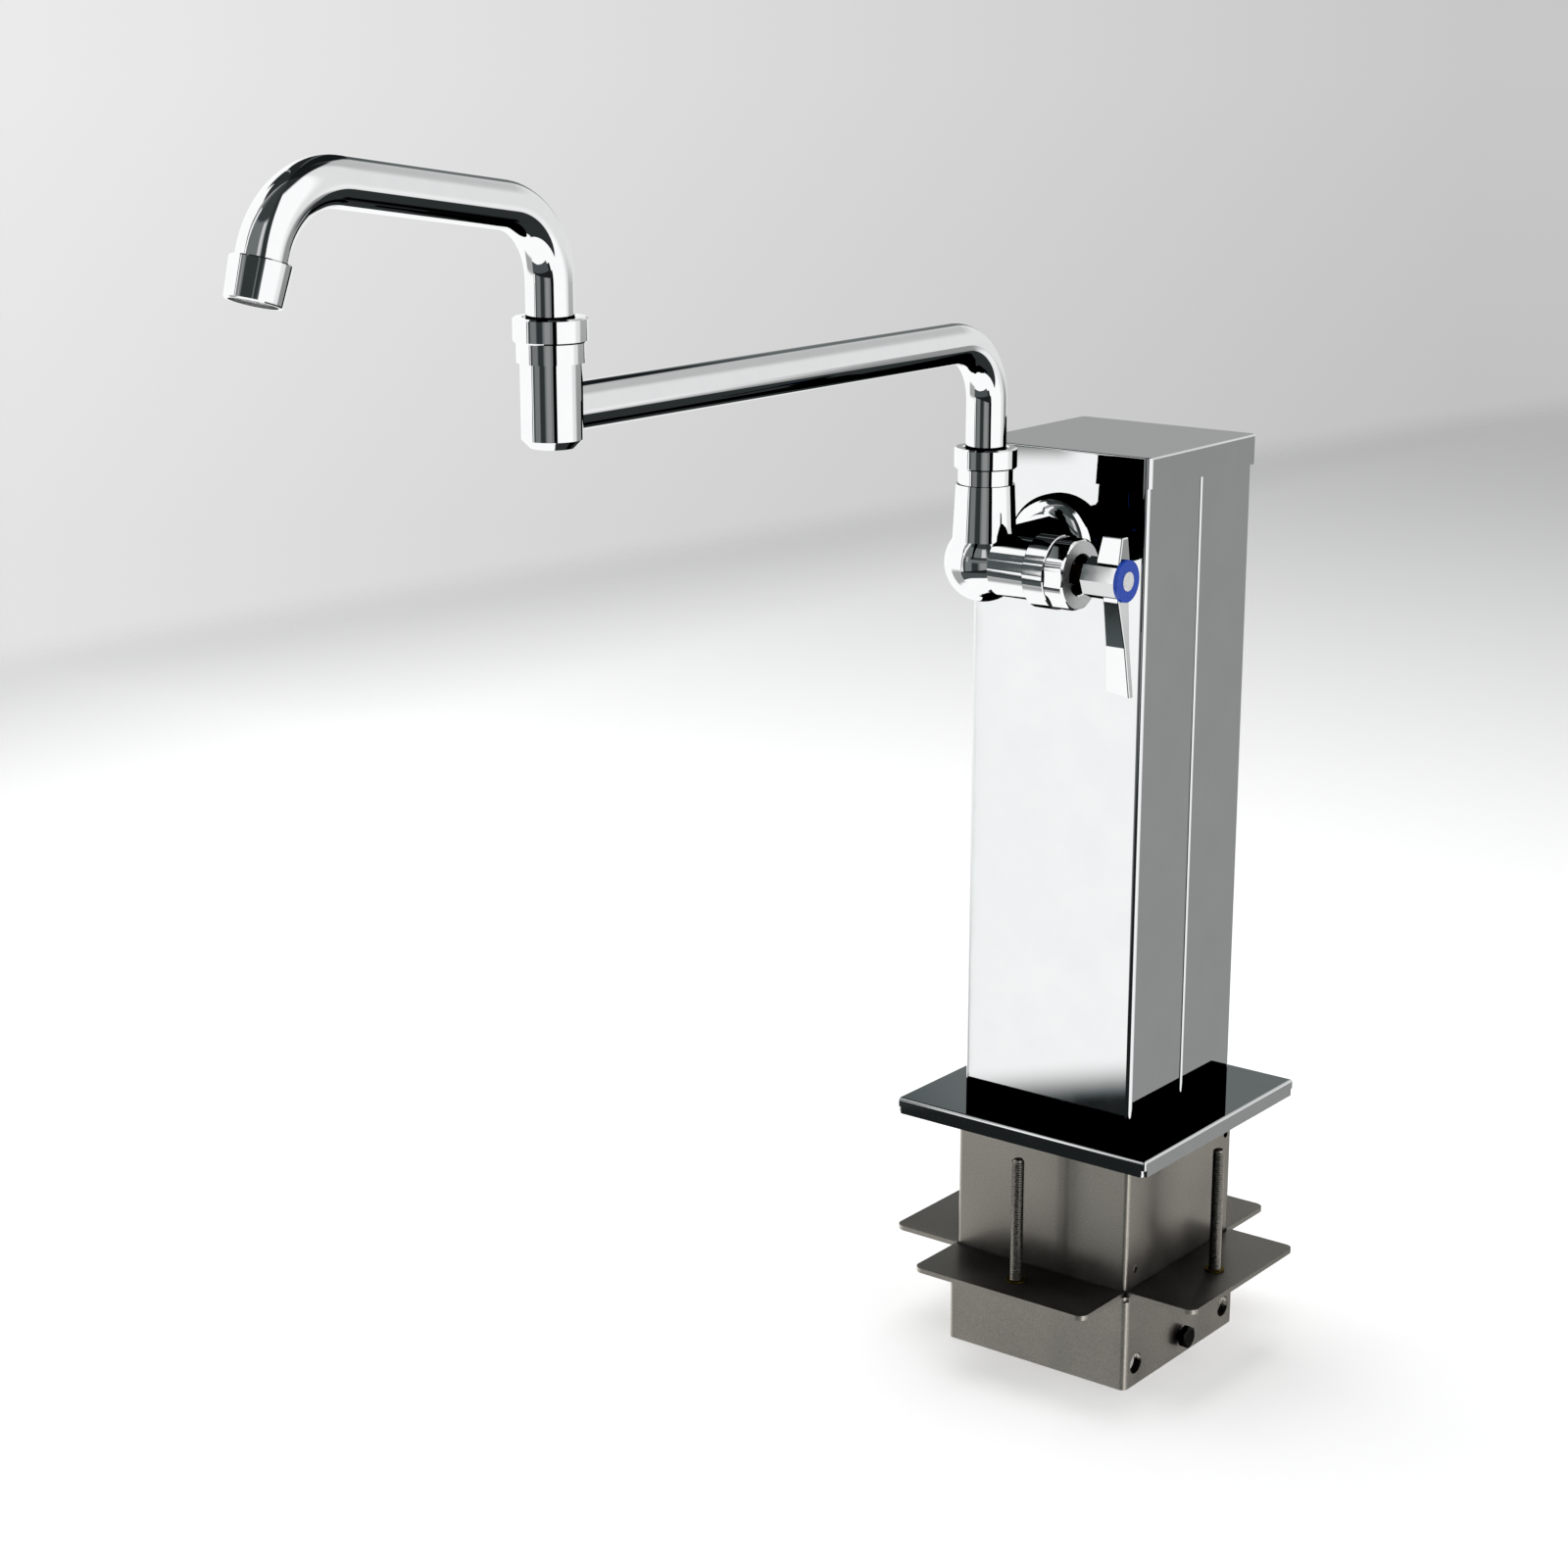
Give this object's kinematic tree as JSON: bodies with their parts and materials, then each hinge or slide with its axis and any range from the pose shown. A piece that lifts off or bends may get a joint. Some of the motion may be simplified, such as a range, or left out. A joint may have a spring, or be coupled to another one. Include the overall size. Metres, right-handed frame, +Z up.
{
  "type": "pot filler",
  "caption": "Pot filler on a square polished column, clamped through a counter, with a lever valve on its front and a double-jointed swing spout.",
  "frame": {"origin": "centre of the column on the counter's top face", "axes": "+Z up, -Y towards the valve and the spout, +X the handle's side"},
  "size_m": [0.184, 0.6716, 0.6426],
  "materials": {
    "chrome_finish": "polished chrome plate",
    "polished_steel": "mirror-polished stainless steel sheet",
    "brushed_steel": "brushed stainless steel sheet",
    "satin_steel": "satin stainless steel sheet, unpolished",
    "brass": "turned brass",
    "zinc_yellow": "yellow zinc plate on steel",
    "zinc_steel": "bright zinc on threaded rod",
    "black_steel": "black oxide on steel",
    "rubber_black": "moulded rubber",
    "ceramic_white": "lapped ceramic",
    "plastic_blue": "moulded plastic",
    "plastic_white": "moulded plastic",
    "copper_tube": "drawn copper tube"
  },
  "bodies": {
    "column": {"front_channel": "polished_steel", "rear_channel": "polished_steel", "cap": "polished_steel", "flange_plate": "polished_steel", "counter_seal": "rubber_black", "sleeve": "satin_steel", "escutcheon": "chrome_finish", "valve_body": "chrome_finish", "shank_washer": "brushed_steel", "shank_locknut": "brass", "supply_elbow": "brass", "riser": "copper_tube", "inlet_adapter": "brass", "bonnet": "chrome_finish", "stem_packing": "rubber_black", "seat_ring": "rubber_black", "cartridge_housing": "brass", "fixed_disc": "ceramic_white", "lower_swivel_nut": "chrome_finish", "lower_swivel_packing": "rubber_black"},
    "handle": {"handle": "chrome_finish", "stem": "brass", "turning_disc": "ceramic_white", "handle_screw": "brushed_steel", "index_ring": "plastic_blue", "index_button": "plastic_white"},
    "lower_arm": {"lower_arm_tube": "chrome_finish", "lower_swivel_ring": "brass", "pivot_body": "chrome_finish", "upper_swivel_nut": "chrome_finish", "upper_swivel_packing": "rubber_black"},
    "upper_arm": {"upper_arm_tube": "chrome_finish", "upper_swivel_ring": "brass", "aerator_housing": "chrome_finish", "spout_washer": "rubber_black", "aerator_insert": "plastic_white"},
    "clamp_frame": {"clamp_frame": "satin_steel", "jack_inserts": "zinc_yellow"},
    "jack_screw_right": {"jack_screw_right": "zinc_steel"},
    "jack_screw_back": {"jack_screw_back": "zinc_steel"},
    "jack_screw_left": {"jack_screw_left": "zinc_steel"},
    "jack_screw_front": {"jack_screw_front": "zinc_steel"},
    "lock_screw_right": {"lock_screw_right": "black_steel"},
    "lock_screw_left": {"lock_screw_left": "black_steel"}
  },
  "joints": [
    {"name": "lower_arm_swing", "type": "hinge", "parent": "column", "child": "lower_arm", "pos_m": [0, -0.1142, 0.351], "axis": [0, 0, 1], "continuous": true},
    {"name": "upper_arm_swing", "type": "hinge", "parent": "lower_arm", "child": "upper_arm", "pos_m": [0, -0.4162, 0.4378], "axis": [0, 0, 1], "continuous": true},
    {"name": "handle_turn", "type": "hinge", "parent": "column", "child": "handle", "pos_m": [0.0587, -0.1142, 0.3061], "axis": [1, 0, 0], "range_deg": [-90, 0]},
    {"name": "clamp_frame_slide", "type": "slide", "parent": "column", "child": "clamp_frame", "axis": [0, 0, 1], "range_m": [-0.05, 0.005]},
    {"name": "jack_right_travel", "type": "slide", "parent": "clamp_frame", "child": "jack_screw_right", "axis": [0, 0, 1], "range_m": [-0.06, 0.002]},
    {"name": "jack_back_travel", "type": "slide", "parent": "clamp_frame", "child": "jack_screw_back", "axis": [0, 0, 1], "range_m": [-0.06, 0.002]},
    {"name": "jack_left_travel", "type": "slide", "parent": "clamp_frame", "child": "jack_screw_left", "axis": [0, 0, 1], "range_m": [-0.06, 0.002]},
    {"name": "jack_front_travel", "type": "slide", "parent": "clamp_frame", "child": "jack_screw_front", "axis": [0, 0, 1], "range_m": [-0.06, 0.002]},
    {"name": "lock_right_travel", "type": "slide", "parent": "clamp_frame", "child": "lock_screw_right", "axis": [1, 0, 0], "range_m": [0, 0.002]},
    {"name": "lock_left_travel", "type": "slide", "parent": "clamp_frame", "child": "lock_screw_left", "axis": [-1, 0, 0], "range_m": [0, 0.002]}
  ]
}
